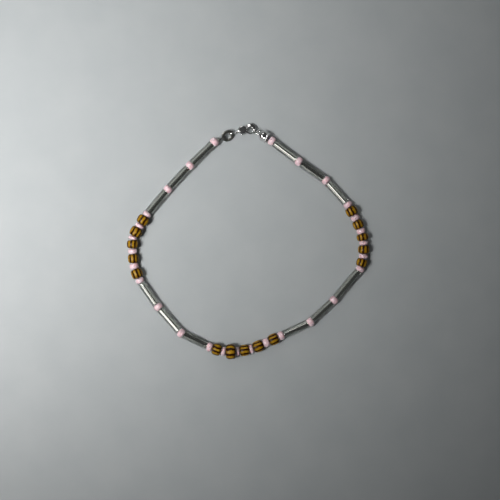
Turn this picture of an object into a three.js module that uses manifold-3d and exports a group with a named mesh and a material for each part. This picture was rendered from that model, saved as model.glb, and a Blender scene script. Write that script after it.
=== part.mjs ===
// Beaded bracelet lying flat: clear bugle beads and striped round beads, strung with a pink seed bead
// between every two of them, and closed by a small lobster clasp.
// Millimetres, +Z up. The beads rest on z = 0, and the loop is centred on the origin.
import * as THREE from 'three';
import { mergeVertices } from 'three/addons/utils/BufferGeometryUtils.js';
import Module from 'manifold-3d';

const wasm = await Module();
wasm.setup();
const DEGREE = Math.PI / 180;
const WELD_DISTANCE = 1e-4;

// Beads. Diameters are across the flats of the many-sided solids, so a round bead of that size fits inside.
const BEAD_GAP = 0.08;
const BUGLE = { bore: 1.0, bevel: 0.12, sides: 12 };
const STRIPED = { boreShare: 0.38, endShare: 0.5, roundSteps: 6, sides: 12 };
const SEED = { diameter: 2.4, endShare: 0.42, roundSteps: 4, sides: 10, firstLength: 1.6, slack: 0.25 };

// One row for each main bead, from the left of the clasp all the way round to its right: its length and
// diameter, the way its axis points in degrees from +X, and the length of the seed bead that follows it.
const BEADS = [
  { kind: 'bugle', length: 7.4, diameter: 2.1, heading: 224, seed: 1.6 },
  { kind: 'bugle', length: 7.0, diameter: 2.1, heading: 227, seed: 1.5 },
  { kind: 'bugle', length: 7.3, diameter: 2.1, heading: 230, seed: 1.2 },
  { kind: 'striped', length: 2.4, diameter: 3.3, heading: 238, seed: 1.1 },
  { kind: 'striped', length: 2.5, diameter: 3.3, heading: 240, seed: 1.0 },
  { kind: 'striped', length: 2.2, diameter: 3.1, heading: 270, seed: 1.4 },
  { kind: 'striped', length: 2.4, diameter: 2.9, heading: 275, seed: 1.6 },
  { kind: 'striped', length: 2.5, diameter: 3.1, heading: 292, seed: 1.4 },
  { kind: 'bugle', length: 7.0, diameter: 2.1, heading: 305, seed: 1.6 },
  { kind: 'bugle', length: 7.6, diameter: 2.1, heading: 311, seed: 1.6 },
  { kind: 'bugle', length: 6.8, diameter: 2.1, heading: 334, seed: 1.5 },
  { kind: 'striped', length: 2.4, diameter: 3.2, heading: 342, seed: 1.2 },
  { kind: 'striped', length: 2.6, diameter: 4.1, heading: 360, seed: 1.0 },
  { kind: 'striped', length: 2.6, diameter: 3.0, heading: 370, seed: 1.0 },
  { kind: 'striped', length: 2.8, diameter: 3.1, heading: 383, seed: 1.7 },
  { kind: 'striped', length: 2.6, diameter: 3.1, heading: 385, seed: 1.6 },
  { kind: 'bugle', length: 7.0, diameter: 2.1, heading: 385, seed: 1.6 },
  { kind: 'bugle', length: 6.9, diameter: 2.1, heading: 403, seed: 1.6 },
  { kind: 'bugle', length: 9.3, diameter: 2.1, heading: 410, seed: 1.3 },
  { kind: 'striped', length: 2.1, diameter: 3.1, heading: 435, seed: 1.3 },
  { kind: 'striped', length: 2.2, diameter: 3.1, heading: 449, seed: 1.2 },
  { kind: 'striped', length: 1.8, diameter: 3.2, heading: 463, seed: 1.4 },
  { kind: 'striped', length: 2.3, diameter: 2.9, heading: 474, seed: 1.5 },
  { kind: 'striped', length: 2.4, diameter: 3.2, heading: 479, seed: 1.4 },
  { kind: 'bugle', length: 7.2, diameter: 2.1, heading: 492, seed: 1.5 },
  { kind: 'bugle', length: 7.2, diameter: 2.1, heading: 505, seed: 1.6 },
  { kind: 'bugle', length: 7.4, diameter: 2.1, heading: 503, seed: 1.6 },
];

// Thread, with a loop through the left ring at one end and a knot inside the bell cap at the other.
const THREAD = { radius: 0.15, clearance: 0.05, sides: 6, loopRadius: 0.68, loopSteps: 12 };
const KNOT = { radius: 0.36, around: 10, along: 6, fromBellNose: 1.35 };
const CRIMP = { diameter: 1.2, bore: 0.5, length: 0.7, bevel: 0.15, sides: 12 };

// Lobster clasp. Its own axes are u along it towards the hook, v away from the wrist and w up, and its own
// origin is the middle of the hook's hole, which lies this far from the first seed bead.
const CLASP = { fromFirstSeed: [9.67, 3.19], height: 1.06, heading: 9 };
const HOOK = { hole: 0.75, outer: 1.5, offset: 0.3, thickness: 0.9, steps: 12, sides: 8 };
const HOOK_ENDS = { tipInner: -38, tipOuter: -74, rootInner: 160, rootOuter: 180 };
const BODY = { centre: [-2.1, 0.35], half: [1.3, 1.1, 0.8], around: 14, along: 8 };
const EYE = { centre: [-5.04, -0.2], radius: 0.78, wire: 0.24 };
const NECK = { radius: 0.32, end: -3.1, sides: 8 };
const SLOT = { u: [-3.2, -0.7], v: [-1.8, 0.28], width: 0.74 };
const PIVOT = { place: [-1.75, -0.2], pin: 0.2, hole: 0.3, boss: 0.4, bossArc: [165, 40], sides: 12 };
const GATE = { thickness: 0.5, inner: [205, 305], outerRadius: 1.4, outer: [-78, -145], steps: 4 };
const THUMB_TAB = [[-1.85, -0.62], [-2.3, -1.0], [-2.75, -0.84], [-2.6, -0.56], [-2.14, -0.3]];

// Jump rings: mean radius and wire radius. The left one is flattened and lies leaning.
// The right one stands in the hook.
const RING_STEPS = 14;
const WIRE_SIDES = 6;
const LEFT_RING = { radius: 1.28, wire: 0.46, flatness: 0.45, lean: 35 };
const RIGHT_RING = { radius: 1.1, wire: 0.18, gripInHook: [0.25, 0.42] };

// Bell cap over the knot: a flared cup with a flat loop. Profile rows are [distance from its nose, radius].
const BELL = { noseFromGrip: 2.6, droop: 7, sides: 14 };
const BELL_OUTSIDE = [
  [0, 0.42], [0.2, 0.85], [0.6, 1.24], [1.2, 1.43], [1.8, 1.4], [2.25, 1.46], [2.65, 1.65]
];
const BELL_INSIDE = [[2.65, 1.4], [2.2, 1.12], [1.7, 0.6], [0.95, 0.48]];
const BELL_LOOP = { radius: 0.5, wire: 0.17, beforeNose: 0.35 };

const FINISH = {
  pink: new THREE.MeshStandardMaterial({ color: 0xe3bfc1, roughness: 0.25, metalness: 0 }),
  amber: new THREE.MeshStandardMaterial({ color: 0xa0712a, roughness: 0.12, metalness: 0 }),
  glass: new THREE.MeshStandardMaterial({ color: 0x8c8a7c, roughness: 0.1, metalness: 0.2 }),
  silver: new THREE.MeshStandardMaterial({ color: 0xc4c6c6, roughness: 0.18, metalness: 1 }),
};

const bracelet = new THREE.Group();

function addPiece(parent, name, geometry, finish) {
  const mesh = new THREE.Mesh(geometry, finish);
  mesh.name = name;
  parent.add(mesh);
  return mesh;
}

// Joining and cutting

function solidOf(geometry) {
  const bare = geometry.clone();
  bare.deleteAttribute('normal');
  bare.deleteAttribute('uv');
  const merged = mergeVertices(bare, WELD_DISTANCE);
  const corners = merged.index.array;
  const triVerts = [];
  for (let i = 0; i < corners.length; i += 3) {
    const [a, b, c] = corners.slice(i, i + 3);
    if (a !== b && b !== c && c !== a) triVerts.push(a, b, c);
  }
  const vertProperties = new Float32Array(merged.attributes.position.array);
  const mesh = new wasm.Mesh({ numProp: 3, vertProperties, triVerts: new Uint32Array(triVerts) });
  return new wasm.Manifold(mesh);
}

function geometryOf(solid) {
  const mesh = solid.getMesh();
  const geometry = new THREE.BufferGeometry();
  geometry.setAttribute('position', new THREE.BufferAttribute(mesh.vertProperties, 3));
  geometry.setIndex(new THREE.BufferAttribute(mesh.triVerts, 1));
  geometry.computeVertexNormals();
  return geometry;
}

function fused(geometries) {
  return geometries.map(solidOf).reduce((whole, next) => whole.add(next));
}

// Turned shapes: the profile is [distance along the axis, radius] and the axis becomes +X, a flat side below.

function turned(profile, sides) {
  const acrossCorners = 1 / Math.cos(Math.PI / sides);
  const points = profile.map(([along, radius]) => new THREE.Vector2(radius * acrossCorners, along));
  return new THREE.LatheGeometry(points, sides, Math.PI / sides).rotateZ(-Math.PI / 2);
}

function rounding(half, radius, endShare, steps) {
  const endRadius = radius * endShare;
  return Array.from({ length: steps + 1 }, (_, step) => {
    const angle = (Math.PI * step) / steps;
    return [-half * Math.cos(angle), endRadius + (radius - endRadius) * Math.sin(angle)];
  });
}

function tubeProfile(length, diameter, bore, bevel) {
  const half = length / 2;
  const radius = diameter / 2;
  return [
    [-half, bore / 2],
    [-half, radius - bevel],
    [-half + bevel, radius],
    [half - bevel, radius],
    [half, radius - bevel],
    [half, bore / 2],
    [-half, bore / 2],
  ];
}

function bugleShape(row) {
  return turned(tubeProfile(row.length, row.diameter, BUGLE.bore, BUGLE.bevel), BUGLE.sides);
}

function stripedShape(row) {
  const half = row.length / 2;
  const bore = boreRadius(row);
  const skin = rounding(half, row.diameter / 2, STRIPED.endShare, STRIPED.roundSteps);
  return turned([[-half, bore], ...skin, [half, bore], [-half, bore]], STRIPED.sides);
}

function seedShape(length) {
  const half = length / 2;
  const skin = rounding(half, SEED.diameter / 2, SEED.endShare, SEED.roundSteps);
  return turned([[-half, 0], ...skin, [half, 0]], SEED.sides);
}

function boreRadius(row) {
  return row.kind === 'bugle' ? BUGLE.bore / 2 : (row.diameter * STRIPED.boreShare) / 2;
}

// Walks along the string and gives each seed bead its place, the height of the thread there and its heading.
function seedStations() {
  const stations = [];
  const place = new THREE.Vector2(0, 0);
  for (let i = 0; i <= BEADS.length; i += 1) {
    const before = BEADS[i - 1];
    const after = BEADS[i];
    const neighbours = [before, after].filter(Boolean);
    const lifts = neighbours.map(
      (row) => row.diameter / 2 - boreRadius(row) + THREAD.radius + THREAD.clearance
    );
    const length = before ? before.seed : SEED.firstLength;
    const threadHeight = Math.max(SEED.diameter / 2, ...lifts);
    const heading = neighbours.reduce((sum, row) => sum + row.heading, 0) / neighbours.length;
    if (before) {
      const reach = stations[i - 1].length / 2 + before.length + length / 2 + 2 * BEAD_GAP;
      place.x += reach * Math.cos(before.heading * DEGREE);
      place.y += reach * Math.sin(before.heading * DEGREE);
    }
    stations.push({ length, heading, threadHeight, x: place.x, y: place.y });
  }
  return stations;
}

function threadPoint(station) {
  return new THREE.Vector3(station.x, station.y, station.threadHeight);
}

function rod(from, to, radius, sides) {
  const way = to.clone().sub(from);
  const turn = new THREE.Quaternion().setFromUnitVectors(new THREE.Vector3(0, 1, 0), way.clone().normalize());
  const middle = from.clone().lerp(to, 0.5);
  const geometry = new THREE.CylinderGeometry(radius, radius, way.length(), sides);
  return geometry.applyQuaternion(turn).translate(middle.x, middle.y, middle.z);
}

// A ring standing on edge in the vertical plane that runs along the given direction.
function standingRing(radius, wire, steps, along) {
  const geometry = new THREE.TorusGeometry(radius, wire, WIRE_SIDES, steps);
  return geometry.rotateX(Math.PI / 2).rotateZ(Math.atan2(along.y, along.x));
}

// A closed skin through rings of points, with a flat face at each end.
function lofted(rings) {
  const count = rings[0].length;
  const lastRing = (rings.length - 1) * count;
  const triangles = [];
  for (let start = 0; start < lastRing; start += count) {
    for (let i = 0; i < count; i += 1) {
      const here = start + i;
      const beside = start + ((i + 1) % count);
      triangles.push(here, here + count, beside, beside, here + count, beside + count);
    }
  }
  for (let i = 1; i < count - 1; i += 1) {
    triangles.push(0, i, i + 1, lastRing, lastRing + i + 1, lastRing + i);
  }
  const geometry = new THREE.BufferGeometry().setFromPoints(rings.flat());
  return geometry.setIndex(triangles);
}

// Clasp outlines, in its own axes

function onCircle(radius, centreV, angle) {
  return new THREE.Vector3(radius * Math.cos(angle * DEGREE), centreV + radius * Math.sin(angle * DEGREE), 0);
}

function hookShape() {
  const { tipInner, tipOuter, rootInner, rootOuter } = HOOK_ENDS;
  const rings = Array.from({ length: HOOK.steps + 1 }, (_, step) => {
    const share = step / HOOK.steps;
    const inner = onCircle(HOOK.hole, 0, THREE.MathUtils.lerp(tipInner, rootInner, share));
    const outer = onCircle(HOOK.outer, HOOK.offset, THREE.MathUtils.lerp(tipOuter, rootOuter, share));
    const middle = inner.clone().lerp(outer, 0.5);
    const halfWidth = outer.clone().sub(middle);
    return Array.from({ length: HOOK.sides }, (__, side) => {
      const turn = (2 * Math.PI * side) / HOOK.sides;
      const rise = (HOOK.thickness / 2) * Math.sin(turn);
      return middle.clone().addScaledVector(halfWidth, Math.cos(turn)).setZ(rise);
    });
  });
  return lofted(rings);
}

function claspBodyShape() {
  const bulb = new THREE.SphereGeometry(1, BODY.around, BODY.along).rotateZ(Math.PI / 2).scale(...BODY.half);
  bulb.translate(...BODY.centre, 0);
  const eye = standingRing(EYE.radius, EYE.wire, RING_STEPS, new THREE.Vector2(1, 0));
  eye.translate(...EYE.centre, 0);
  const neckStart = new THREE.Vector3(EYE.centre[0] + EYE.radius, EYE.centre[1], 0);
  const neckEnd = new THREE.Vector3(NECK.end, BODY.centre[1] / 2, 0);
  const neck = rod(neckStart, neckEnd, NECK.radius, NECK.sides);
  const slotSize = [SLOT.u[1] - SLOT.u[0], SLOT.v[1] - SLOT.v[0]];
  const slot = new THREE.BoxGeometry(...slotSize, SLOT.width);
  slot.translate(SLOT.u[0] + slotSize[0] / 2, SLOT.v[0] + slotSize[1] / 2, 0);
  const pinHalf = (SLOT.width / 2 + BODY.half[2]) / 2;
  const pivot = new THREE.Vector3(...PIVOT.place, 0);
  const up = new THREE.Vector3(0, 0, pinHalf);
  const pin = rod(pivot.clone().sub(up), pivot.clone().add(up), PIVOT.pin, PIVOT.sides);
  return geometryOf(fused([hookShape(), bulb, neck, eye]).subtract(solidOf(slot)).add(solidOf(pin)));
}

// The lever is turned about its own pivot: a boss, a gate that closes the hook and a thumb tab.
function claspLeverShape() {
  const shape = new THREE.Shape();
  const [pivotU, pivotV] = PIVOT.place;
  shape.absarc(0, 0, HOOK.hole, GATE.inner[0] * DEGREE, GATE.inner[1] * DEGREE, false);
  shape.absarc(0, HOOK.offset, GATE.outerRadius, GATE.outer[0] * DEGREE, GATE.outer[1] * DEGREE, true);
  THUMB_TAB.forEach(([u, v]) => shape.lineTo(u, v));
  shape.absarc(pivotU, pivotV, PIVOT.boss, PIVOT.bossArc[0] * DEGREE, PIVOT.bossArc[1] * DEGREE, true);
  const hole = new THREE.Path();
  hole.absarc(pivotU, pivotV, PIVOT.hole, 0, 2 * Math.PI, false);
  shape.holes.push(hole);
  const geometry = new THREE.ExtrudeGeometry(shape, {
    depth: GATE.thickness,
    bevelEnabled: false,
    curveSegments: GATE.steps,
  });
  return geometry.translate(0, 0, -GATE.thickness / 2);
}

function bellShape() {
  const cup = turned([[0, 0], ...BELL_OUTSIDE, ...BELL_INSIDE, [BELL_INSIDE.at(-1)[0], 0]], BELL.sides);
  const loop = new THREE.TorusGeometry(BELL_LOOP.radius, BELL_LOOP.wire, WIRE_SIDES, RING_STEPS);
  loop.translate(-BELL_LOOP.beforeNose, 0, 0);
  return geometryOf(fused([cup, loop]));
}

// Main beads, each a node of its own

const stations = seedStations();
const counts = { bugle: 0, striped: 0 };
BEADS.forEach((row, i) => {
  counts[row.kind] += 1;
  const isBugle = row.kind === 'bugle';
  const name = `${isBugle ? 'bugle' : 'striped_bead'}_${String(counts[row.kind]).padStart(2, '0')}`;
  const shape = isBugle ? bugleShape(row) : stripedShape(row);
  const bead = addPiece(bracelet, name, shape, isBugle ? FINISH.glass : FINISH.amber);
  const reach = stations[i].length / 2 + BEAD_GAP + row.length / 2;
  bead.position.set(
    stations[i].x + reach * Math.cos(row.heading * DEGREE),
    stations[i].y + reach * Math.sin(row.heading * DEGREE),
    row.diameter / 2
  );
  bead.rotation.z = row.heading * DEGREE;
});

// Clasp, with the lever on its own pivot

const clasp = new THREE.Group();
clasp.position.set(...CLASP.fromFirstSeed, CLASP.height);
clasp.rotation.z = CLASP.heading * DEGREE;
clasp.updateMatrixWorld();
bracelet.add(clasp);
addPiece(clasp, 'clasp_body', claspBodyShape(), FINISH.silver);
addPiece(clasp, 'clasp_lever', claspLeverShape(), FINISH.silver);
const eyePlace = clasp.localToWorld(new THREE.Vector3(...EYE.centre, 0));
const gripPlace = clasp.localToWorld(new THREE.Vector3(...RIGHT_RING.gripInHook, 0));

// Left ring, from the clasp's eye towards the first seed bead

const firstSeed = threadPoint(stations[0]);
const leftWay = new THREE.Vector2(eyePlace.x - firstSeed.x, eyePlace.y - firstSeed.y).normalize();
const leftRing = addPiece(
  bracelet,
  'ring_left',
  new THREE.TorusGeometry(LEFT_RING.radius, LEFT_RING.wire, WIRE_SIDES, RING_STEPS),
  FINISH.silver
);
const leftLean = LEFT_RING.lean * DEGREE;
const leftBandFall = Math.hypot(Math.sin(leftLean), LEFT_RING.flatness * Math.cos(leftLean));
const leftRingHeight = LEFT_RING.radius * Math.sin(leftLean) + LEFT_RING.wire * leftBandFall;
leftRing.geometry.scale(1, 1, LEFT_RING.flatness).rotateX(leftLean).rotateZ(leftWay.angle());
leftRing.position.set(
  eyePlace.x - LEFT_RING.radius * leftWay.x,
  eyePlace.y - LEFT_RING.radius * leftWay.y,
  leftRingHeight
);
const loopCentre = new THREE.Vector3(
  eyePlace.x - 2 * LEFT_RING.radius * leftWay.x,
  eyePlace.y - 2 * LEFT_RING.radius * leftWay.y,
  leftRingHeight
);
const loopStart = loopCentre.clone();
loopStart.x -= THREAD.loopRadius * leftWay.x;
loopStart.y -= THREAD.loopRadius * leftWay.y;

// Crimp on the thread, next to the first seed bead

const crimp = addPiece(
  bracelet,
  'crimp',
  turned(tubeProfile(CRIMP.length, CRIMP.diameter, CRIMP.bore, CRIMP.bevel), CRIMP.sides),
  FINISH.silver
);
const crimpWay = loopStart.clone().sub(firstSeed).normalize();
crimp.quaternion.setFromUnitVectors(new THREE.Vector3(1, 0, 0), crimpWay);
const crimpReach = stations[0].length / 2 + BEAD_GAP + CRIMP.length / 2;
crimp.position.copy(firstSeed).addScaledVector(crimpWay, crimpReach);

// Right ring and bell cap, from the hook towards the last seed bead

const lastSeed = threadPoint(stations.at(-1));
const rightWay = new THREE.Vector2(lastSeed.x - gripPlace.x, lastSeed.y - gripPlace.y).normalize();
const rightRing = addPiece(
  bracelet,
  'ring_right',
  standingRing(RIGHT_RING.radius, RIGHT_RING.wire, RING_STEPS, rightWay),
  FINISH.silver
);
rightRing.position.set(
  gripPlace.x + RIGHT_RING.radius * rightWay.x,
  gripPlace.y + RIGHT_RING.radius * rightWay.y,
  RIGHT_RING.radius + RIGHT_RING.wire
);

const bell = addPiece(bracelet, 'bell_cap', bellShape(), FINISH.silver);
const [bellLength, rimRadius] = BELL_OUTSIDE.at(-1);
const droop = BELL.droop * DEGREE;
bell.rotation.order = 'ZYX';
bell.rotation.set(0, -droop, rightWay.angle());
bell.position.set(
  gripPlace.x + BELL.noseFromGrip * rightWay.x,
  gripPlace.y + BELL.noseFromGrip * rightWay.y,
  rimRadius * Math.cos(droop) - bellLength * Math.sin(droop)
);
bell.updateMatrixWorld();
const knotPlace = bell.localToWorld(new THREE.Vector3(KNOT.fromBellNose, 0, 0));

// Thread and seed beads, one fused string

function stringShape() {
  const pieces = stations.map((station) => {
    const height = Math.max(SEED.diameter / 2, station.threadHeight - SEED.slack);
    const seed = seedShape(station.length).rotateZ(station.heading * DEGREE);
    return seed.translate(station.x, station.y, height);
  });
  const route = [loopStart, ...stations.map(threadPoint), knotPlace];
  for (let i = 1; i < route.length; i += 1) {
    pieces.push(rod(route[i - 1], route[i], THREAD.radius, THREAD.sides));
  }
  const loop = standingRing(THREAD.loopRadius, THREAD.radius, THREAD.loopSteps, leftWay);
  pieces.push(loop.translate(loopCentre.x, loopCentre.y, loopCentre.z));
  const knot = new THREE.SphereGeometry(KNOT.radius, KNOT.around, KNOT.along);
  pieces.push(knot.translate(knotPlace.x, knotPlace.y, knotPlace.z));
  return geometryOf(fused(pieces));
}

addPiece(bracelet, 'seed_bead_string', stringShape(), FINISH.pink);

// The middle of the loop's box becomes the origin.

bracelet.updateMatrixWorld(true);
const middle = new THREE.Box3().setFromObject(bracelet, true).getCenter(new THREE.Vector3());
bracelet.position.set(-middle.x, -middle.y, 0);

export default bracelet;
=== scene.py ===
# Beaded bracelet: fine glass beads, thread and polished clasp in place of the faceted solids.
import math
import random
from collections import namedtuple

import bpy
from mathutils import Matrix, Vector


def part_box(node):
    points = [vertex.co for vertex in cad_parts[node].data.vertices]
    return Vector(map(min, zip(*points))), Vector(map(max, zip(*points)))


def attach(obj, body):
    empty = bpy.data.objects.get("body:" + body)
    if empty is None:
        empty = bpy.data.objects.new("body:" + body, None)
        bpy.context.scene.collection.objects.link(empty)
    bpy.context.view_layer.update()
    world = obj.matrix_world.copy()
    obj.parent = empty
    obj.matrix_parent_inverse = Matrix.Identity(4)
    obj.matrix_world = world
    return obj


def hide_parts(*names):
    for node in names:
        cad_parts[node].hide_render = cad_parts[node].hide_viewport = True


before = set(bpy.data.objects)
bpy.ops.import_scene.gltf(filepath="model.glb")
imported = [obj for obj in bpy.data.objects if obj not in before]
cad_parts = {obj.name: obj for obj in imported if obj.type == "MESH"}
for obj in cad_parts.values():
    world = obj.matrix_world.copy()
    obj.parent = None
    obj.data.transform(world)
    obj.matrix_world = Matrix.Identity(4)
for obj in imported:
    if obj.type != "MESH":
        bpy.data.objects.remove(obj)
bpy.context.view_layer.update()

# Lengths are in millimetres until a shape becomes a piece. Angles in the tables are in degrees.
MM = 0.001
FULL_TURN = 2 * math.pi
ORIGIN = Vector((0, 0, 0))
ALONG = Vector((1, 0, 0))
ACROSS = Vector((0, 1, 0))
UP = Vector((0, 0, 1))
RANDOM_SEED = 11

stray = random.Random(RANDOM_SEED)

# Beads

# Main beads from the left of the clasp all the way round to its right. Each has its length and diameter,
# the heading of its axis from +X, the length of the seed bead that follows it, and its roll about the axis.
Bead = namedtuple("Bead", "kind length diameter heading seed roll")
BEADS = [
    Bead("bugle", 7.4, 2.1, 224, 1.6, 46),
    Bead("bugle", 7.0, 2.1, 227, 1.5, 45),
    Bead("bugle", 7.3, 2.1, 230, 1.2, 46),
    Bead("striped", 2.4, 3.3, 238, 1.1, 42),
    Bead("striped", 2.5, 3.3, 240, 1.0, 8),
    Bead("striped", 2.2, 3.1, 270, 1.4, 36),
    Bead("striped", 2.4, 2.9, 275, 1.6, 10),
    Bead("striped", 2.5, 3.1, 292, 1.4, 16),
    Bead("bugle", 7.0, 2.1, 305, 1.6, 30),
    Bead("bugle", 7.6, 2.1, 311, 1.6, 27),
    Bead("bugle", 6.8, 2.1, 334, 1.5, 45),
    Bead("striped", 2.4, 3.2, 342, 1.2, 44),
    Bead("striped", 2.6, 4.1, 360, 1.0, 0),
    Bead("striped", 2.6, 3.0, 370, 1.0, 16),
    Bead("striped", 2.8, 3.1, 383, 1.7, 22),
    Bead("striped", 2.6, 3.1, 385, 1.6, 18),
    Bead("bugle", 7.0, 2.1, 385, 1.6, 30),
    Bead("bugle", 6.9, 2.1, 403, 1.6, 30),
    Bead("bugle", 9.3, 2.1, 410, 1.3, 30),
    Bead("striped", 2.1, 3.1, 435, 1.3, 38),
    Bead("striped", 2.2, 3.1, 449, 1.2, 16),
    Bead("striped", 1.8, 3.2, 463, 1.4, 25),
    Bead("striped", 2.3, 2.9, 474, 1.5, 31),
    Bead("striped", 2.4, 3.2, 479, 1.4, 28),
    Bead("bugle", 7.2, 2.1, 492, 1.5, -30),
    Bead("bugle", 7.2, 2.1, 505, 1.6, 9),
    Bead("bugle", 7.4, 2.1, 503, 1.6, -30),
]
BEAD_GAP = 0.08
NODE_PREFIX = {"bugle": "bugle", "striped": "striped_bead"}

BUGLE_BORE = 1.0
BUGLE_SIDES = 64
BUGLE_RIM = 0.16
BUGLE_RIM_STEPS = 5
BUGLE_END_BAND = 0.2
BUGLE_SLANT = 0.05
LINING_HALF_SIDE = 0.46
LINING_SQUARENESS = 4
LINING_LIP = 0.05
LINING_LIP_DEPTH = 0.06
STRIPED_BORE_SHARE = 0.38
STRIPED_END_SHARE = 0.52
STRIPED_FULLNESS = 0.6
SEED_DIAMETER = 2.4
SEED_FIRST_LENGTH = 1.6
SEED_HOLE = 0.7
SEED_END_SHARE = 0.46
SEED_FULLNESS = 0.62
SEED_SLACK = 0.25
THREAD_RADIUS = 0.15
THREAD_CLEARANCE = 0.05
THREAD_SIDES = 12


def bore_radius(bead):
    if bead.kind == "bugle":
        return BUGLE_BORE / 2
    return bead.diameter * STRIPED_BORE_SHARE / 2


def direction(heading):
    angle = math.radians(heading)
    return Vector((math.cos(angle), math.sin(angle), 0))


Station = namedtuple("Station", "place heading length thread_height")


def walk_string():
    """The place, heading, length and thread height of each seed bead, counted from the first one."""
    found = []
    place = ORIGIN
    for i in range(len(BEADS) + 1):
        before = BEADS[i - 1] if i > 0 else None
        beside = [bead for bead in (before, *BEADS[i : i + 1]) if bead]
        length = before.seed if before else SEED_FIRST_LENGTH
        if before:
            reach = found[-1].length / 2 + before.length + length / 2 + 2 * BEAD_GAP
            place = place + reach * direction(before.heading)
        lifts = [b.diameter / 2 - bore_radius(b) + THREAD_RADIUS + THREAD_CLEARANCE for b in beside]
        heading = sum(b.heading for b in beside) / len(beside)
        found.append(Station(place, heading, length, max(SEED_DIAMETER / 2, *lifts)))
    return found


def bead_centre(station, bead):
    reach = station.length / 2 + BEAD_GAP + bead.length / 2
    return station.place + reach * direction(bead.heading) + UP * (bead.diameter / 2)


def node_centre(node):
    low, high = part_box(node)
    return (low + high) / (2 * MM)


stations = walk_string()
string_start = node_centre("bugle_01") - bead_centre(stations[0], BEADS[0])
stations = [s._replace(place=s.place + string_start) for s in stations]


# Meshes

Shape = namedtuple("Shape", "points faces")


def ring(along, radius, sides):
    """Points round the X axis. The radius is a number or a function of the angle."""
    points = []
    for i in range(sides):
        angle = FULL_TURN * i / sides
        r = radius(angle) if callable(radius) else radius
        points.append(Vector((along, r * math.cos(angle), r * math.sin(angle))))
    return points


def skin(rings, closed=False):
    """A closed skin through rings of points: capped at both ends, or joined end to end."""
    count = len(rings[0])
    points = [point for one in rings for point in one]
    faces = []
    spans = len(rings) if closed else len(rings) - 1
    for k in range(spans):
        here = k * count
        following = ((k + 1) % len(rings)) * count
        for i in range(count):
            beside = (i + 1) % count
            faces.append((here + i, here + beside, following + beside, following + i))
    if not closed:
        last = (len(rings) - 1) * count
        faces.append(tuple(reversed(range(count))))
        faces.append(tuple(range(last, last + count)))
    return Shape(points, faces)


def tube(path, radius, sides, closed=False):
    """A round tube along a path of points, kept from twisting."""
    ways = []
    for i, point in enumerate(path):
        back = path[i - 1] if i > 0 or closed else point
        ahead = path[(i + 1) % len(path)] if i < len(path) - 1 or closed else point
        ways.append((ahead - back).normalized())
    side = ways[0].orthogonal().normalized()
    rings = []
    for point, way in zip(path, ways):
        side = (side - way * side.dot(way)).normalized()
        other = way.cross(side)
        turns = [FULL_TURN * i / sides for i in range(sides)]
        rings.append([point + radius * (math.cos(t) * side + math.sin(t) * other) for t in turns])
    return skin(rings, closed)


def moved(shape, matrix):
    return Shape([matrix @ p for p in shape.points], shape.faces)


def joined(shapes):
    points, faces = [], []
    for shape in shapes:
        start = len(points)
        points.extend(shape.points)
        faces.extend(tuple(start + i for i in face) for face in shape.faces)
    return Shape(points, faces)


def mesh_of(name, shape, scale=MM):
    mesh = bpy.data.meshes.new(name)
    mesh.from_pydata([p * scale for p in shape.points], [], shape.faces)
    mesh.validate()
    mesh.shade_smooth()
    return mesh


def add_piece(name, mesh, materials, body, nodes, matrix=Matrix.Identity(4)):
    """Adds a piece that has these materials and rides on a body in place of the named solids."""
    piece = bpy.data.objects.new(name, mesh)
    bpy.context.scene.collection.objects.link(piece)
    piece.matrix_world = matrix
    for material in materials:
        mesh.materials.append(material)
    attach(piece, body)
    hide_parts(*nodes)


def evaluated_mesh(data, modifiers=()):
    """The mesh of a mesh or curve after modifiers, each given as a type and its settings."""
    bench = bpy.data.objects.new("bench", data)
    bpy.context.scene.collection.objects.link(bench)
    for kind, settings in modifiers:
        modifier = bench.modifiers.new(kind, kind)
        for key, value in settings.items():
            setattr(modifier, key, value)
    graph = bpy.context.evaluated_depsgraph_get()
    result = bpy.data.meshes.new_from_object(bench.evaluated_get(graph))
    bpy.data.objects.remove(bench)
    return result


def finished(mesh, name):
    """A mesh made in millimetres, brought to metres and shaded smooth."""
    mesh.name = name
    mesh.transform(Matrix.Scale(MM, 4))
    mesh.shade_smooth()
    return mesh


CAST_REMESH = ("REMESH", {"mode": "VOXEL", "voxel_size": 0.04})
CAST_SMOOTH = ("SMOOTH", {"factor": 0.5, "iterations": 5})


def cast_mesh(name, shape):
    """Overlapping closed shapes as one cast skin, with a small fillet where they meet."""
    return finished(evaluated_mesh(mesh_of(name, shape, scale=1), [CAST_REMESH, CAST_SMOOTH]), name)


# Materials: tones as red, green, blue and alpha

PINK_DEEP = (0.87, 0.585, 0.63, 1)
PINK_PALE = (0.90, 0.655, 0.69, 1)
PINK_CLOUD = (0.93, 0.735, 0.76, 1)
AMBER_DEEP = (0.33, 0.165, 0.005, 1)
AMBER_PALE = (0.49, 0.275, 0.014, 1)
# Painted shade: the dark olive that the amber turns towards at both ends of each striped bead.
AMBER_END_PAINTED_SHADE = (0.10, 0.055, 0.003, 1)
STRIPE_DEEP = (0.014, 0.002, 0.0004, 1)
STRIPE_PALE = (0.034, 0.007, 0.001, 1)
GLASS_TINT = (0.96, 0.97, 0.94, 1)
LINING_DULL = (0.56, 0.55, 0.49, 1)
LINING_BRIGHT = (0.74, 0.75, 0.72, 1)
SILVER_DARK = (0.60, 0.60, 0.58, 1)
SILVER_PALE = (0.82, 0.82, 0.81, 1)
# Painted dark reflection: silver darkened to the dull grey of the left ring and the crimp.
PAINTED_GREY_DARK = (0.22, 0.22, 0.195, 1)
PAINTED_GREY_PALE = (0.34, 0.34, 0.31, 1)
THREAD_DARK = (0.03, 0.03, 0.03, 1)
THREAD_PALE = (0.10, 0.10, 0.09, 1)
FLOOR_DARK = (0.415, 0.44, 0.445, 1)
FLOOR_PALE = (0.445, 0.468, 0.47, 1)

STRIPE_COUNT = 8
STRIPE_SHARE = 0.44
STRIPE_SWELL = 0.07
STRIPE_WOBBLE = 0.11
STRIPE_UNEVEN = 0.05
STRIPE_BLUR = 0.06

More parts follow.
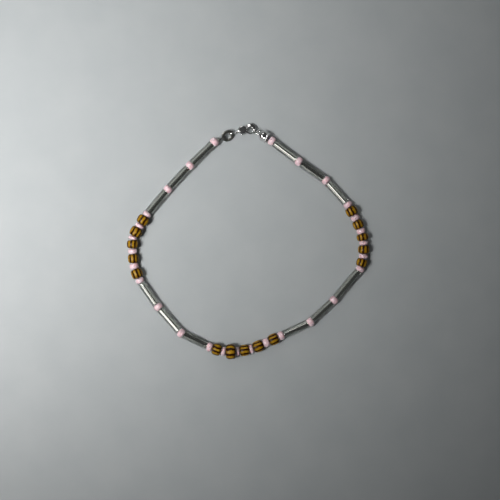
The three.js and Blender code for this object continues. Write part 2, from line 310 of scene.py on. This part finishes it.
# Most of a noise lies in this range.
NOISE_LOW = 0.3
NOISE_HIGH = 0.7


def new_material(name):
    material = bpy.data.materials.new(name)
    material.use_nodes = True
    return material, material.node_tree, material.node_tree.nodes["Principled BSDF"]


def feed(tree, node, inputs):
    """Sets a node's input sockets to constants, or links them from other sockets."""
    for key, value in inputs.items():
        if isinstance(value, bpy.types.NodeSocket):
            tree.links.new(value, node.inputs[key])
        else:
            node.inputs[key].default_value = value


def add_node(tree, kind, inputs=None, **settings):
    node = tree.nodes.new(kind)
    for key, value in settings.items():
        setattr(node, key, value)
    feed(tree, node, inputs or {})
    return node


def math_node(tree, operation, *values):
    node = add_node(tree, "ShaderNodeMath", dict(enumerate(values)), operation=operation)
    return node.outputs[0]


def millimetres(tree, stretch=(1, 1, 1)):
    """The piece's own coordinates in millimetres, stretched along its axes."""
    place = add_node(tree, "ShaderNodeTexCoord")
    scale = tuple(1 / (MM * s) for s in stretch)
    mapping = add_node(tree, "ShaderNodeMapping", {"Vector": place.outputs["Object"], "Scale": scale})
    return mapping.outputs["Vector"]


def noise_node(tree, place, scale, detail=2.0):
    inputs = {"Vector": place, "Scale": scale, "Detail": detail}
    return add_node(tree, "ShaderNodeTexNoise", inputs).outputs["Fac"]


def ranged(tree, value, low, high, to_low, to_high):
    inputs = {0: value, 1: low, 2: high, 3: to_low, 4: to_high}
    return add_node(tree, "ShaderNodeMapRange", inputs).outputs[0]


def spread(tree, noise, to_low=0.0, to_high=1.0):
    """A noise stretched to another range."""
    return ranged(tree, noise, NOISE_LOW, NOISE_HIGH, to_low, to_high)


def mixed(tree, share, first, second):
    """A colour between two others. Its sockets go by number, because their names repeat."""
    node = add_node(tree, "ShaderNodeMix", {0: share, 6: first, 7: second}, data_type="RGBA")
    return node.outputs[2]


def add_bump(tree, shader, height, strength, distance):
    inputs = {"Height": height, "Strength": strength, "Distance": distance * MM}
    bump = add_node(tree, "ShaderNodeBump", inputs)
    feed(tree, shader, {"Normal": bump.outputs["Normal"]})


def pink_glass():
    """Opaque pale pink glass, each bead a slightly different pink."""
    material, tree, shader = new_material("pink_glass")
    place = millimetres(tree)
    island = add_node(tree, "ShaderNodeNewGeometry").outputs["Random Per Island"]
    cloud = ranged(tree, noise_node(tree, place, scale=1.3), 0.35, 0.65, 0.0, 0.35)
    inputs = {
        "Base Color": mixed(tree, cloud, mixed(tree, island, PINK_DEEP, PINK_PALE), PINK_CLOUD),
        "Roughness": spread(tree, noise_node(tree, place, scale=3.0), 0.2, 0.32),
        "Subsurface Weight": 0.12,
        "Subsurface Radius": (1.0, 0.5, 0.45),
        "Subsurface Scale": 0.3 * MM,
    }
    feed(tree, shader, inputs)
    add_bump(tree, shader, noise_node(tree, place, scale=2.2), strength=0.1, distance=0.06)
    return material


def stripe_mask(tree, place, turn_angle, from_centre):
    """One on the stripes and nought between them. The stripes swell towards the ends of the hole."""
    wobble = spread(tree, noise_node(tree, place, scale=0.9), -STRIPE_WOBBLE, STRIPE_WOBBLE)
    turn = math_node(tree, "ADD", math_node(tree, "DIVIDE", turn_angle, FULL_TURN / STRIPE_COUNT), wobble)
    off_middle = math_node(tree, "SUBTRACT", math_node(tree, "FRACT", turn), 0.5)
    from_middle = math_node(tree, "ABSOLUTE", off_middle)
    swell = ranged(tree, from_centre, 0.3, 1.3, 0.0, STRIPE_SWELL)
    uneven = spread(tree, noise_node(tree, place, scale=1.7), -STRIPE_UNEVEN, STRIPE_UNEVEN)
    inside = math_node(tree, "SUBTRACT", from_middle, math_node(tree, "ADD", uneven, swell))
    edge = STRIPE_SHARE / 2
    return ranged(tree, inside, edge - STRIPE_BLUR, edge + STRIPE_BLUR, 1.0, 0.0)


def striped_amber_glass():
    """Amber glass with dark brown stripes that run along the hole, and painted shade that darkens it
    towards the bead's ends.
    """
    material, tree, shader = new_material("striped_amber_glass")
    place = millimetres(tree)
    axes = add_node(tree, "ShaderNodeSeparateXYZ", {"Vector": place})
    turn_angle = math_node(tree, "ARCTAN2", axes.outputs["Y"], axes.outputs["Z"])
    from_centre = math_node(tree, "ABSOLUTE", axes.outputs["X"])
    depth = spread(tree, noise_node(tree, place, scale=1.1, detail=3.0))
    # Painted shade: the amber darkens towards both ends of the hole.
    painted_end_shade = ranged(tree, from_centre, 0.35, 1.2, 0.0, 0.7)
    amber = mixed(tree, painted_end_shade, mixed(tree, depth, AMBER_DEEP, AMBER_PALE), AMBER_END_PAINTED_SHADE)
    brown = mixed(tree, depth, STRIPE_DEEP, STRIPE_PALE)
    inputs = {
        "Base Color": mixed(tree, stripe_mask(tree, place, turn_angle, from_centre), amber, brown),
        "Roughness": spread(tree, noise_node(tree, place, scale=2.4), 0.24, 0.36),
        "Specular IOR Level": 0.16,
        "Subsurface Weight": 0.06,
        "Subsurface Radius": (1.0, 0.55, 0.15),
        "Subsurface Scale": 0.35 * MM,
    }
    feed(tree, shader, inputs)
    add_bump(tree, shader, noise_node(tree, place, scale=1.6), strength=0.2, distance=0.06)
    return material


def clear_glass():
    """Clear drawn glass with faint lines along it."""
    material, tree, shader = new_material("clear_glass")
    lines = noise_node(tree, millimetres(tree, stretch=(200, 0.5, 0.5)), scale=2.0, detail=3.0)
    inputs = {
        "Base Color": GLASS_TINT,
        "Transmission Weight": 1.0,
        "IOR": 1.5,
        "Roughness": spread(tree, lines, 0.0, 0.015),
    }
    feed(tree, shader, inputs)
    add_bump(tree, shader, lines, strength=0.02, distance=0.02)
    return material


def silver_lining():
    """Silvered wall of a bugle's hole, a little tarnished and streaked along it."""
    material, tree, shader = new_material("silver_lining")
    streaks = noise_node(tree, millimetres(tree, stretch=(200, 0.3, 0.3)), scale=1.5, detail=3.0)
    inputs = {
        "Base Color": mixed(tree, spread(tree, streaks), LINING_DULL, LINING_BRIGHT),
        "Metallic": 1.0,
        "Roughness": spread(tree, streaks, 0.08, 0.03),
    }
    feed(tree, shader, inputs)
    add_bump(tree, shader, streaks, strength=0.015, distance=0.02)
    return material


def silver_metal(name, dark, pale, smoothest, roughest):
    """Silver-coloured metal with fine wear, between two tones and two roughnesses."""
    material, tree, shader = new_material(name)
    cloud = noise_node(tree, millimetres(tree), scale=1.4, detail=4.0)
    scratches = noise_node(tree, millimetres(tree, stretch=(2.0, 0.12, 0.4)), scale=1.6, detail=4.0)
    inputs = {
        "Base Color": mixed(tree, spread(tree, cloud), dark, pale),
        "Metallic": 1.0,
        "Roughness": spread(tree, scratches, smoothest, roughest),
    }
    feed(tree, shader, inputs)
    add_bump(tree, shader, scratches, strength=0.1, distance=0.02)
    return material


def thread_fibre():
    """Dark beading thread with a fine twist."""
    material, tree, shader = new_material("thread_fibre")
    wave = {"Vector": millimetres(tree), "Scale": 6.0, "Distortion": 1.0}
    twist = add_node(tree, "ShaderNodeTexWave", wave).outputs["Fac"]
    feed(tree, shader, {"Base Color": mixed(tree, twist, THREAD_DARK, THREAD_PALE), "Roughness": 0.45})
    add_bump(tree, shader, twist, strength=0.4, distance=0.03)
    return material


PINK = pink_glass()
AMBER = striped_amber_glass()
GLASS = clear_glass()
LINING = silver_lining()
SILVER = silver_metal("silver_metal", SILVER_DARK, SILVER_PALE, smoothest=0.07, roughest=0.2)
# Painted dark reflection: a darker, rougher copy of the silver, used for the left ring and the crimp.
PAINTED_GREY_SILVER = silver_metal("painted_grey_silver", PAINTED_GREY_DARK, PAINTED_GREY_PALE, smoothest=0.34, roughest=0.46)
FIBRE = thread_fibre()


# Bead shapes, turned about X

LIP_FALL = 0.6
LIP_DEPTH = 0.4


def rounded_rows(length, diameter, end_share, fullness, steps):
    """Outside of a rounded bead, as rows of place along the axis and radius."""
    radius = diameter / 2
    end = radius * end_share
    rows = []
    for i in range(steps + 1):
        angle = math.pi * i / steps
        swell = math.sin(angle) ** fullness
        rows.append((-length / 2 * math.cos(angle), end + (radius - end) * swell))
    return rows


def bead_shape(length, diameter, hole, end_share, fullness, steps=28, sides=48):
    """A drilled round bead with softly rounded edges at its hole."""
    outside = rounded_rows(length, diameter, end_share, fullness, steps)
    end = diameter / 2 * end_share
    lip = (end - hole / 2) / 2
    half = length / 2
    mouth = [(half, end - lip * LIP_FALL), (half - lip * LIP_DEPTH, hole / 2)]
    rows = [(-a, r) for a, r in reversed(mouth)] + outside + mouth
    return skin([ring(a, r, sides) for a, r in rows], closed=True)


def squared(half_side):
    """Radius of a square hole with rounded corners, by angle."""

    def radius(angle):
        reach = abs(math.cos(angle)) ** LINING_SQUARENESS + abs(math.sin(angle)) ** LINING_SQUARENESS
        return half_side / reach ** (1 / LINING_SQUARENESS)

    return radius


def bugle_rows(bead):
    """Rows of a bugle's outside and inside, as place along the axis and radius."""
    half = bead.length / 2
    radius = bead.diameter / 2
    rim = [(half - BUGLE_RIM - BUGLE_END_BAND, radius)]
    for i in range(BUGLE_RIM_STEPS + 1):
        angle = math.pi / 2 * i / BUGLE_RIM_STEPS
        rim.append((half - BUGLE_RIM * (1 - math.sin(angle)), radius - BUGLE_RIM * (1 - math.cos(angle))))
    hole = squared(LINING_HALF_SIDE)
    lip = squared(LINING_HALF_SIDE + LINING_LIP)
    mouth = [(half, lip), (half - LINING_LIP_DEPTH, hole), (half - BUGLE_END_BAND, hole)]
    outside = [(-a, r) for a, r in reversed(rim)] + rim
    inside = mouth + [(-a, r) for a, r in reversed(mouth)]
    return outside, inside


def bugle_mesh(name, bead):
    """A glass tube with rounded rims and slightly slanted ends. Its square hole is silvered."""
    outside, inside = bugle_rows(bead)
    slants = [abs(stray.uniform(-BUGLE_SLANT, BUGLE_SLANT)) for _ in range(2)]
    slant_turns = [stray.uniform(0, FULL_TURN) for _ in range(2)]
    rings = []
    for along, radius in outside + inside:
        end = 0 if along < 0 else 1
        points = ring(along, radius, BUGLE_SIDES)
        for p in points:
            turn = math.atan2(p.z, p.y) - slant_turns[end]
            p.x -= math.copysign(slants[end] * (1 + math.cos(turn)) / 2, along)
        rings.append(points)
    mesh = mesh_of(name, skin(rings, closed=True))
    lined = range(len(outside) + 1, len(outside) + len(inside) - 2)
    for face in mesh.polygons:
        face.material_index = 1 if face.index // BUGLE_SIDES in lined else 0
    return mesh


def place_along(centre, heading, roll):
    """Stands a shape that was turned about X at a place, pointing along a heading."""
    turn = Matrix.Rotation(math.radians(heading), 4, "Z") @ Matrix.Rotation(math.radians(roll), 4, "X")
    return Matrix.Translation(centre * MM) @ turn


counts = {"bugle": 0, "striped": 0}
for station, bead in zip(stations, BEADS):
    counts[bead.kind] += 1
    node = f"{NODE_PREFIX[bead.kind]}_{counts[bead.kind]:02d}"
    name = f"fine_{node}"
    matrix = place_along(bead_centre(station, bead), bead.heading, bead.roll)
    if bead.kind == "bugle":
        mesh = bugle_mesh(name, bead)
        add_piece(name, mesh, [GLASS, LINING], "bracelet", [node], matrix)
    else:
        hole = 2 * bore_radius(bead)
        shape = bead_shape(bead.length, bead.diameter, hole, STRIPED_END_SHARE, STRIPED_FULLNESS)
        mesh = mesh_of(name, shape)
        add_piece(name, mesh, [AMBER], "bracelet", [node], matrix)


# Clasp: its own frame starts at the hook's hole, with X towards the hook, Y away from the wrist and Z up

CLASP_FROM_FIRST_SEED = Vector((9.67, 3.19, 0))
CLASP_HEIGHT = 1.06
CLASP_HEADING = 9
HOOK_HOLE = 0.75
HOOK_OUTER = 1.5
HOOK_OFFSET = 0.3
HOOK_THICKNESS = 0.9
HOOK_INNER_SPAN = (-38, 160)
HOOK_OUTER_SPAN = (-74, 180)
HOOK_STEPS = 44
# Section of the hook from its inner to its outer edge: share of the width, and share of the half thickness
HOOK_SECTION = [
    (0, 0), (0.03, 0.5), (0.12, 0.92), (0.24, 1.0),
    (0.6, 0.62), (0.88, 0.3), (0.97, 0.14), (1, 0),
]
BODY_CENTRE = Vector((-2.1, 0.35, 0))
BODY_HALF = Vector((1.3, 1.1, 0.8))
BULB_FLATNESS = 6
EYE_CENTRE = Vector((-5.04, -0.2, 0))
EYE_RADIUS = 0.78
EYE_WIRE = 0.24
NECK_RADIUS = 0.32
NECK_END = Vector((-3.1, 0.175, 0))
SLOT_LOW = Vector((-3.2, -1.8, -0.37))
SLOT_HIGH = Vector((-0.7, 0.28, 0.37))
PIVOT = Vector((-1.75, -0.2, 0))
PIN_RADIUS = 0.2
PIN_HALF = 0.585

clasp_frame = (
    Matrix.Translation(stations[0].place + CLASP_FROM_FIRST_SEED + UP * CLASP_HEIGHT)
    @ Matrix.Rotation(math.radians(CLASP_HEADING), 4, "Z")
)


def on_circle(radius, centre_y, degrees):
    angle = math.radians(degrees)
    return Vector((radius * math.cos(angle), centre_y + radius * math.sin(angle), 0))


def between(span, share):
    return span[0] + (span[1] - span[0]) * share


def hook_shape():
    """The hook, thick at its crown and rounded off at its tip."""
    rings = []
    for step in range(HOOK_STEPS + 1):
        share = step / HOOK_STEPS
        inner = on_circle(HOOK_HOLE, 0, between(HOOK_INNER_SPAN, share))
        outer = on_circle(HOOK_OUTER, HOOK_OFFSET, between(HOOK_OUTER_SPAN, share))
        rise = UP * (HOOK_THICKNESS / 2)
        over = [inner.lerp(outer, across) + height * rise for across, height in HOOK_SECTION]
        under = [inner.lerp(outer, across) - height * rise for across, height in HOOK_SECTION[-2:0:-1]]
        rings.append(over + under)
    return skin(rings)


def ball(centre, half, around=48, along=24):
    """A rounded ellipsoid whose poles are on its X axis."""
    rings = []
    for i in range(1, along):
        angle = math.pi * i / along
        rings.append(ring(-math.cos(angle), math.sin(angle), around))
    return moved(skin(rings), Matrix.Translation(centre) @ Matrix.Diagonal((*half, 1)))


def pebble(centre, half):
    """A ball squashed to a flatter top and bottom, with the same reach."""
    unit = ball(ORIGIN, (1, 1, 1))
    points = []
    for p in unit.points:
        rise = max(0, 1 - p.xy.length**BULB_FLATNESS) ** (1 / BULB_FLATNESS)
        points.append(Vector((p.x, p.y, math.copysign(rise, p.z))))
    return moved(Shape(points, unit.faces), Matrix.Translation(centre) @ Matrix.Diagonal((*half, 1)))


def block(low, high):
    points = [Vector((x, y, z)) for x in (low.x, high.x) for y in (low.y, high.y) for z in (low.z, high.z)]
    faces = [(0, 1, 3, 2), (4, 6, 7, 5), (0, 4, 5, 1), (2, 3, 7, 6), (0, 2, 6, 4), (1, 5, 7, 3)]
    return Shape(points, faces)


def circle_path(centre, first, second, radius, start=0.0, end=360.0, steps=48):
    """Points on a circle through two directions at right angles."""
    count = steps + 1 if end - start < 360 else steps
    turns = [math.radians(start + (end - start) * i / steps) for i in range(count)]
    return [centre + radius * (math.cos(t) * first + math.sin(t) * second) for t in turns]


def slotted_bulb():
    """The clasp's bulb with the slot that the lever sits in."""
    cutter = bpy.data.objects.new("slot", mesh_of("slot", block(SLOT_LOW, SLOT_HIGH), scale=1))
    bpy.context.scene.collection.objects.link(cutter)
    bulb = mesh_of("bulb", pebble(BODY_CENTRE, BODY_HALF), scale=1)
    slotting = {"object": cutter, "operation": "DIFFERENCE", "solver": "EXACT"}
    cut = evaluated_mesh(bulb, [("BOOLEAN", slotting)])
    bpy.data.objects.remove(cutter)
    return Shape([v.co.copy() for v in cut.vertices], [tuple(p.vertices) for p in cut.polygons])


def clasp_body_shape():
    eye = tube(circle_path(EYE_CENTRE, ALONG, UP, EYE_RADIUS), EYE_WIRE, 20, closed=True)
    neck = tube([EYE_CENTRE + ALONG * EYE_RADIUS, NECK_END], NECK_RADIUS, 24)
    pin = tube([PIVOT - UP * PIN_HALF, PIVOT + UP * PIN_HALF], PIN_RADIUS, 24)
    return joined([hook_shape(), slotted_bulb(), neck, eye, pin])


clasp_matrix = Matrix.Translation(clasp_frame.translation * MM) @ clasp_frame.to_3x3().to_4x4()
body_mesh = cast_mesh("fine_clasp_body", clasp_body_shape())
add_piece("fine_clasp_body", body_mesh, [SILVER], "bracelet", ["clasp_body"], clasp_matrix)

# Lever: a boss on the pin, a gate that closes the hook and a thumb tab

GATE_HALF = 0.25
GATE_INNER_SPAN = (205, 305)
GATE_OUTER_RADIUS = 1.4
GATE_OUTER_SPAN = (-78, -145)
THUMB_TAB = [(-1.85, -0.62), (-2.3, -1.0), (-2.75, -0.84), (-2.6, -0.56), (-2.14, -0.3)]
BOSS_RADIUS = 0.4
BOSS_SPAN = (165, 40)
PIVOT_HOLE = 0.3
PIVOT_HOLE_STEPS = 24
LEVER_EDGE = 0.07
LEVER_EDGE_STEPS = 3
ARC_STEPS = 14


def arc(radius, centre, span, steps=ARC_STEPS):
    angles = [math.radians(between(span, i / steps)) for i in range(steps + 1)]
    return [(centre[0] + radius * math.cos(a), centre[1] + radius * math.sin(a)) for a in angles]


def lever_mesh():
    """The lever cut from plate, with rounded edges."""
    outline = arc(HOOK_HOLE, (0, 0), GATE_INNER_SPAN)
    outline += arc(GATE_OUTER_RADIUS, (0, HOOK_OFFSET), GATE_OUTER_SPAN)
    outline += THUMB_TAB
    outline += arc(BOSS_RADIUS, PIVOT.xy, BOSS_SPAN)
    hole = arc(PIVOT_HOLE, PIVOT.xy, (0, 360), PIVOT_HOLE_STEPS)[:-1]
    curve = bpy.data.curves.new("lever", "CURVE")
    curve.dimensions = "2D"
    curve.fill_mode = "BOTH"
    curve.extrude = GATE_HALF - LEVER_EDGE
    curve.bevel_depth = LEVER_EDGE
    curve.bevel_resolution = LEVER_EDGE_STEPS
    curve.offset = -LEVER_EDGE
    for points in (outline, hole):
        spline = curve.splines.new("POLY")
        spline.points.add(len(points) - 1)
        for spot, (x, y) in zip(spline.points, points):
            spot.co = (x, y, 0, 1)
        spline.use_cyclic_u = True
    return finished(evaluated_mesh(curve), "fine_clasp_lever")


add_piece("fine_clasp_lever", lever_mesh(), [SILVER], "lever", ["clasp_lever"], clasp_matrix)

# Rings, crimp and bell cap between the clasp and the two ends of the string

LEFT_RING_RADIUS = 1.28
LEFT_RING_WIRE = 0.46
LEFT_RING_FLATNESS = 0.45
LEFT_RING_LEAN = 35
LEFT_RING_SPLIT_AT = -100
RIGHT_RING_RADIUS = 1.1
RIGHT_RING_WIRE = 0.18
RIGHT_RING_GRIP = Vector((0.25, 0.42, 0))
RIGHT_RING_SPLIT_AT = 60
RING_SPLIT = 3.0
LOOP_RADIUS = 0.68
CRIMP_DIAMETER = 1.2
CRIMP_LENGTH = 0.7
CRIMP_BORE = 0.5
CRIMP_END_SHARE = 0.72
CRIMP_FULLNESS = 0.5
BELL_NOSE_FROM_GRIP = 2.6
BELL_DROOP = 7
# Rows of the cap from its nose to its rim and back inside: place along the axis, and radius
BELL_NOSE = (0.0, 0.42)
BELL_ROWS = [(0.2, 0.85), (0.6, 1.26), (1.2, 1.5), (1.8, 1.48), (2.25, 1.5), (2.65, 1.65)]
BELL_HOLLOW = [(2.65, 1.4), (2.2, 1.12), (1.7, 0.6), (0.95, 0.48)]
BELL_SIDES = 84
BELL_PETALS = 6
BELL_PETAL_START = 1.0
BELL_NOTCH = 0.16
BELL_LOOP_RADIUS = 0.5
BELL_LOOP_WIRE = 0.17
BELL_LOOP_BEFORE_NOSE = 0.35
KNOT_FROM_NOSE = 1.35
KNOT_RADIUS = 0.36


def flat(vector):
    return Vector((vector.x, vector.y, 0))


def thread_point(station):
    return station.place + UP * station.thread_height


first_seed = thread_point(stations[0])
last_seed = thread_point(stations[-1])
eye_place = clasp_frame @ EYE_CENTRE
grip_place = clasp_frame @ RIGHT_RING_GRIP
left_way = flat(eye_place - first_seed).normalized()
right_way = flat(last_seed - grip_place).normalized()


def split_ring(radius, wire, split_at):
    """A jump ring lying flat: wire with a fine split where its ends meet."""
    start = split_at + RING_SPLIT / 2
    path = circle_path(ORIGIN, ALONG, ACROSS, radius, start, start + 360 - RING_SPLIT, steps=72)
    return tube(path, wire, sides=24)


def turned_to(way, tilt):
    """Tips a shape about X by an angle in radians, then turns its X axis to a level direction."""
    return Matrix.Rotation(math.atan2(way.y, way.x), 4, "Z") @ Matrix.Rotation(tilt, 4, "X")


lean = math.radians(LEFT_RING_LEAN)
band_fall = math.hypot(math.sin(lean), LEFT_RING_FLATNESS * math.cos(lean))
left_height = LEFT_RING_RADIUS * math.sin(lean) + LEFT_RING_WIRE * band_fall
left_centre = flat(eye_place) - LEFT_RING_RADIUS * left_way + UP * left_height
flattened = Matrix.Diagonal((1, 1, LEFT_RING_FLATNESS, 1))
left_matrix = Matrix.Translation(left_centre) @ turned_to(left_way, lean) @ flattened
left_ring = split_ring(LEFT_RING_RADIUS, LEFT_RING_WIRE, LEFT_RING_SPLIT_AT)
left_mesh = mesh_of("fine_ring_left", moved(left_ring, left_matrix))
add_piece("fine_ring_left", left_mesh, [PAINTED_GREY_SILVER], "bracelet", ["ring_left"])

right_height = RIGHT_RING_RADIUS + RIGHT_RING_WIRE
right_centre = flat(grip_place) + RIGHT_RING_RADIUS * right_way + UP * right_height
right_matrix = Matrix.Translation(right_centre) @ turned_to(right_way, math.pi / 2)
right_ring = split_ring(RIGHT_RING_RADIUS, RIGHT_RING_WIRE, RIGHT_RING_SPLIT_AT)
right_mesh = mesh_of("fine_ring_right", moved(right_ring, right_matrix))
add_piece("fine_ring_right", right_mesh, [SILVER], "bracelet", ["ring_right"])

loop_centre = flat(eye_place) - 2 * LEFT_RING_RADIUS * left_way + UP * left_height
loop_start = loop_centre - LOOP_RADIUS * left_way
crimp_way = (loop_start - first_seed).normalized()
crimp_centre = first_seed + crimp_way * (stations[0].length / 2 + BEAD_GAP + CRIMP_LENGTH / 2)
crimp_turn = crimp_way.to_track_quat("X", "Z").to_matrix().to_4x4()
crimp_matrix = Matrix.Translation(crimp_centre * MM) @ crimp_turn
crimp_shape = bead_shape(CRIMP_LENGTH, CRIMP_DIAMETER, CRIMP_BORE, CRIMP_END_SHARE, CRIMP_FULLNESS)
crimp_mesh = mesh_of("fine_crimp", crimp_shape)
add_piece("fine_crimp", crimp_mesh, [PAINTED_GREY_SILVER], "bracelet", ["crimp"], crimp_matrix)


def eased(rows, steps):
    """Rows of a profile refined by a smooth curve through them."""
    fine = []
    for i in range(len(rows) - 1):
        before = rows[max(i - 1, 0)]
        after = rows[min(i + 2, len(rows) - 1)]
        for k in range(steps):
            t = k / steps
            spot = []
            for a, b, c, d in zip(before, rows[i], rows[i + 1], after):
                square = 2 * a - 5 * b + 4 * c - d
                cube = 3 * b - a - 3 * c + d
                spot.append((2 * b + (c - a) * t + square * t**2 + cube * t**3) / 2)
            fine.append(tuple(spot))
    return fine + [rows[-1]]


def lobed(along, radius):
    """The radius by angle: round at the nose, with notches between the petals of the rim."""
    depth = BELL_NOTCH * max(0, along - BELL_PETAL_START) / (BELL_ROWS[-1][0] - BELL_PETAL_START)
    return lambda angle: radius * (1 - depth * (0.5 - 0.5 * math.cos(BELL_PETALS * angle)))


def bell_shape():
    """A flared cup with a petalled rim, and a flat loop on its nose."""
    rows = [BELL_NOSE] + eased(BELL_ROWS, steps=5) + eased(BELL_HOLLOW, steps=4)
    cup = skin([ring(a, lobed(a, r), BELL_SIDES) for a, r in rows])
    path = circle_path(ALONG * -BELL_LOOP_BEFORE_NOSE, ALONG, ACROSS, BELL_LOOP_RADIUS)
    loop = tube(path, BELL_LOOP_WIRE, sides=18, closed=True)
    return joined([cup, loop])


droop = math.radians(BELL_DROOP)
bell_length, rim_radius = BELL_ROWS[-1]
bell_height = rim_radius * math.cos(droop) - bell_length * math.sin(droop)
bell_place = flat(grip_place) + BELL_NOSE_FROM_GRIP * right_way + UP * bell_height
bell_turn = turned_to(right_way, 0) @ Matrix.Rotation(-droop, 4, "Y")
bell_matrix = Matrix.Translation(bell_place * MM) @ bell_turn
bell_mesh = cast_mesh("fine_bell_cap", bell_shape())
add_piece("fine_bell_cap", bell_mesh, [SILVER], "bracelet", ["bell_cap"], bell_matrix)
knot_place = bell_place + bell_turn @ (ALONG * KNOT_FROM_NOSE)

# Seed beads and the thread through everything


def seed_shapes():
    shapes = []
    for station in stations:
        height = max(SEED_DIAMETER / 2, station.thread_height - SEED_SLACK)
        shape = bead_shape(station.length, SEED_DIAMETER, SEED_HOLE, SEED_END_SHARE, SEED_FULLNESS)
        spot = Matrix.Translation(station.place + UP * height)
        shapes.append(moved(shape, spot @ Matrix.Rotation(math.radians(station.heading), 4, "Z")))
    return shapes


seeds = mesh_of("fine_seed_beads", joined(seed_shapes()))
add_piece("fine_seed_beads", seeds, [PINK], "bracelet", ["seed_bead_string"])

loop_path = circle_path(loop_centre, -left_way, UP, LOOP_RADIUS)
route = [loop_start, *map(thread_point, stations), knot_place]
thread_shape = joined(
    [
        tube(route, THREAD_RADIUS, THREAD_SIDES),
        tube(loop_path, THREAD_RADIUS, THREAD_SIDES, closed=True),
        ball(knot_place, (KNOT_RADIUS,) * 3, around=20, along=12),
    ]
)
thread = mesh_of("thread", thread_shape)
add_piece("thread", thread, [FIBRE], "bracelet", ["seed_bead_string"])

# Floor, light and camera, in metres

FLOOR_HALF = 0.5
FLOOR_ROUGHNESS = 0.4
SKY_TINT = (0.95, 0.98, 1.0, 1)
SKY_STRENGTH = 0.05
PHOTO_WIDTH = 0.135
PHOTO_CENTRE = Vector((0.49, -2.36, 0)) * MM
LENS = 100
SENSOR = 36
NEAR_CLIP = 0.01


def pale_floor():
    """Pale cool grey with a faint mottle."""
    material, tree, shader = new_material("pale_floor")
    place = add_node(tree, "ShaderNodeTexCoord").outputs["Object"]
    mottle = noise_node(tree, place, scale=90.0, detail=4.0)
    tone = mixed(tree, spread(tree, mottle), FLOOR_DARK, FLOOR_PALE)
    feed(tree, shader, {"Base Color": tone, "Roughness": FLOOR_ROUGHNESS})
    return material


def add_floor():
    corners = [(FLOOR_HALF * x, FLOOR_HALF * y, 0) for x, y in ((-1, -1), (1, -1), (1, 1), (-1, 1))]
    mesh = bpy.data.meshes.new("floor")
    mesh.from_pydata(corners, [], [(0, 1, 2, 3)])
    mesh.materials.append(pale_floor())
    floor = bpy.data.objects.new("floor", mesh)
    bpy.context.scene.collection.objects.link(floor)


def add_softbox(name, azimuth, elevation, distance, size, power, aim=ORIGIN, cone=180):
    """An area light that faces a spot near the bracelet. The azimuth is counted from +X."""
    data = bpy.data.lights.new(name, "AREA")
    data.shape = "RECTANGLE"
    data.size, data.size_y = size
    data.energy = power
    data.spread = math.radians(cone)
    light = bpy.data.objects.new(name, data)
    bpy.context.scene.collection.objects.link(light)
    rise = math.radians(elevation)
    way = math.cos(rise) * direction(azimuth) + math.sin(rise) * UP
    light.location = distance * way
    light.rotation_euler = (light.location - aim).to_track_quat("Z", "Y").to_euler()


def add_world():
    world = bpy.data.worlds.new("studio")
    world.use_nodes = True
    background = world.node_tree.nodes["Background"]
    feed(world.node_tree, background, {"Color": SKY_TINT, "Strength": SKY_STRENGTH})
    bpy.context.scene.world = world


def add_camera():
    data = bpy.data.cameras.new("camera")
    data.lens = LENS
    data.sensor_width = SENSOR
    data.clip_start = NEAR_CLIP
    camera = bpy.data.objects.new("camera", data)
    camera.location = PHOTO_CENTRE + UP * (PHOTO_WIDTH * LENS / SENSOR)
    bpy.context.scene.collection.objects.link(camera)
    bpy.context.scene.camera = camera


add_floor()
add_world()
add_softbox(
    "window", azimuth=187, elevation=57, distance=0.40, size=(0.16, 0.12), power=0.116,
    aim=Vector((-0.066, 0.034, 0)), cone=40,
)
add_softbox("wall", azimuth=130, elevation=42, distance=0.20, size=(0.18, 0.14), power=0.023)
add_softbox("glow", azimuth=224, elevation=30, distance=0.50, size=(0.19, 0.13), power=0.14)
add_softbox("kicker", azimuth=105, elevation=38, distance=0.50, size=(0.19, 0.15), power=0.22)
add_camera()
bpy.context.scene.view_settings.view_transform = "Standard"
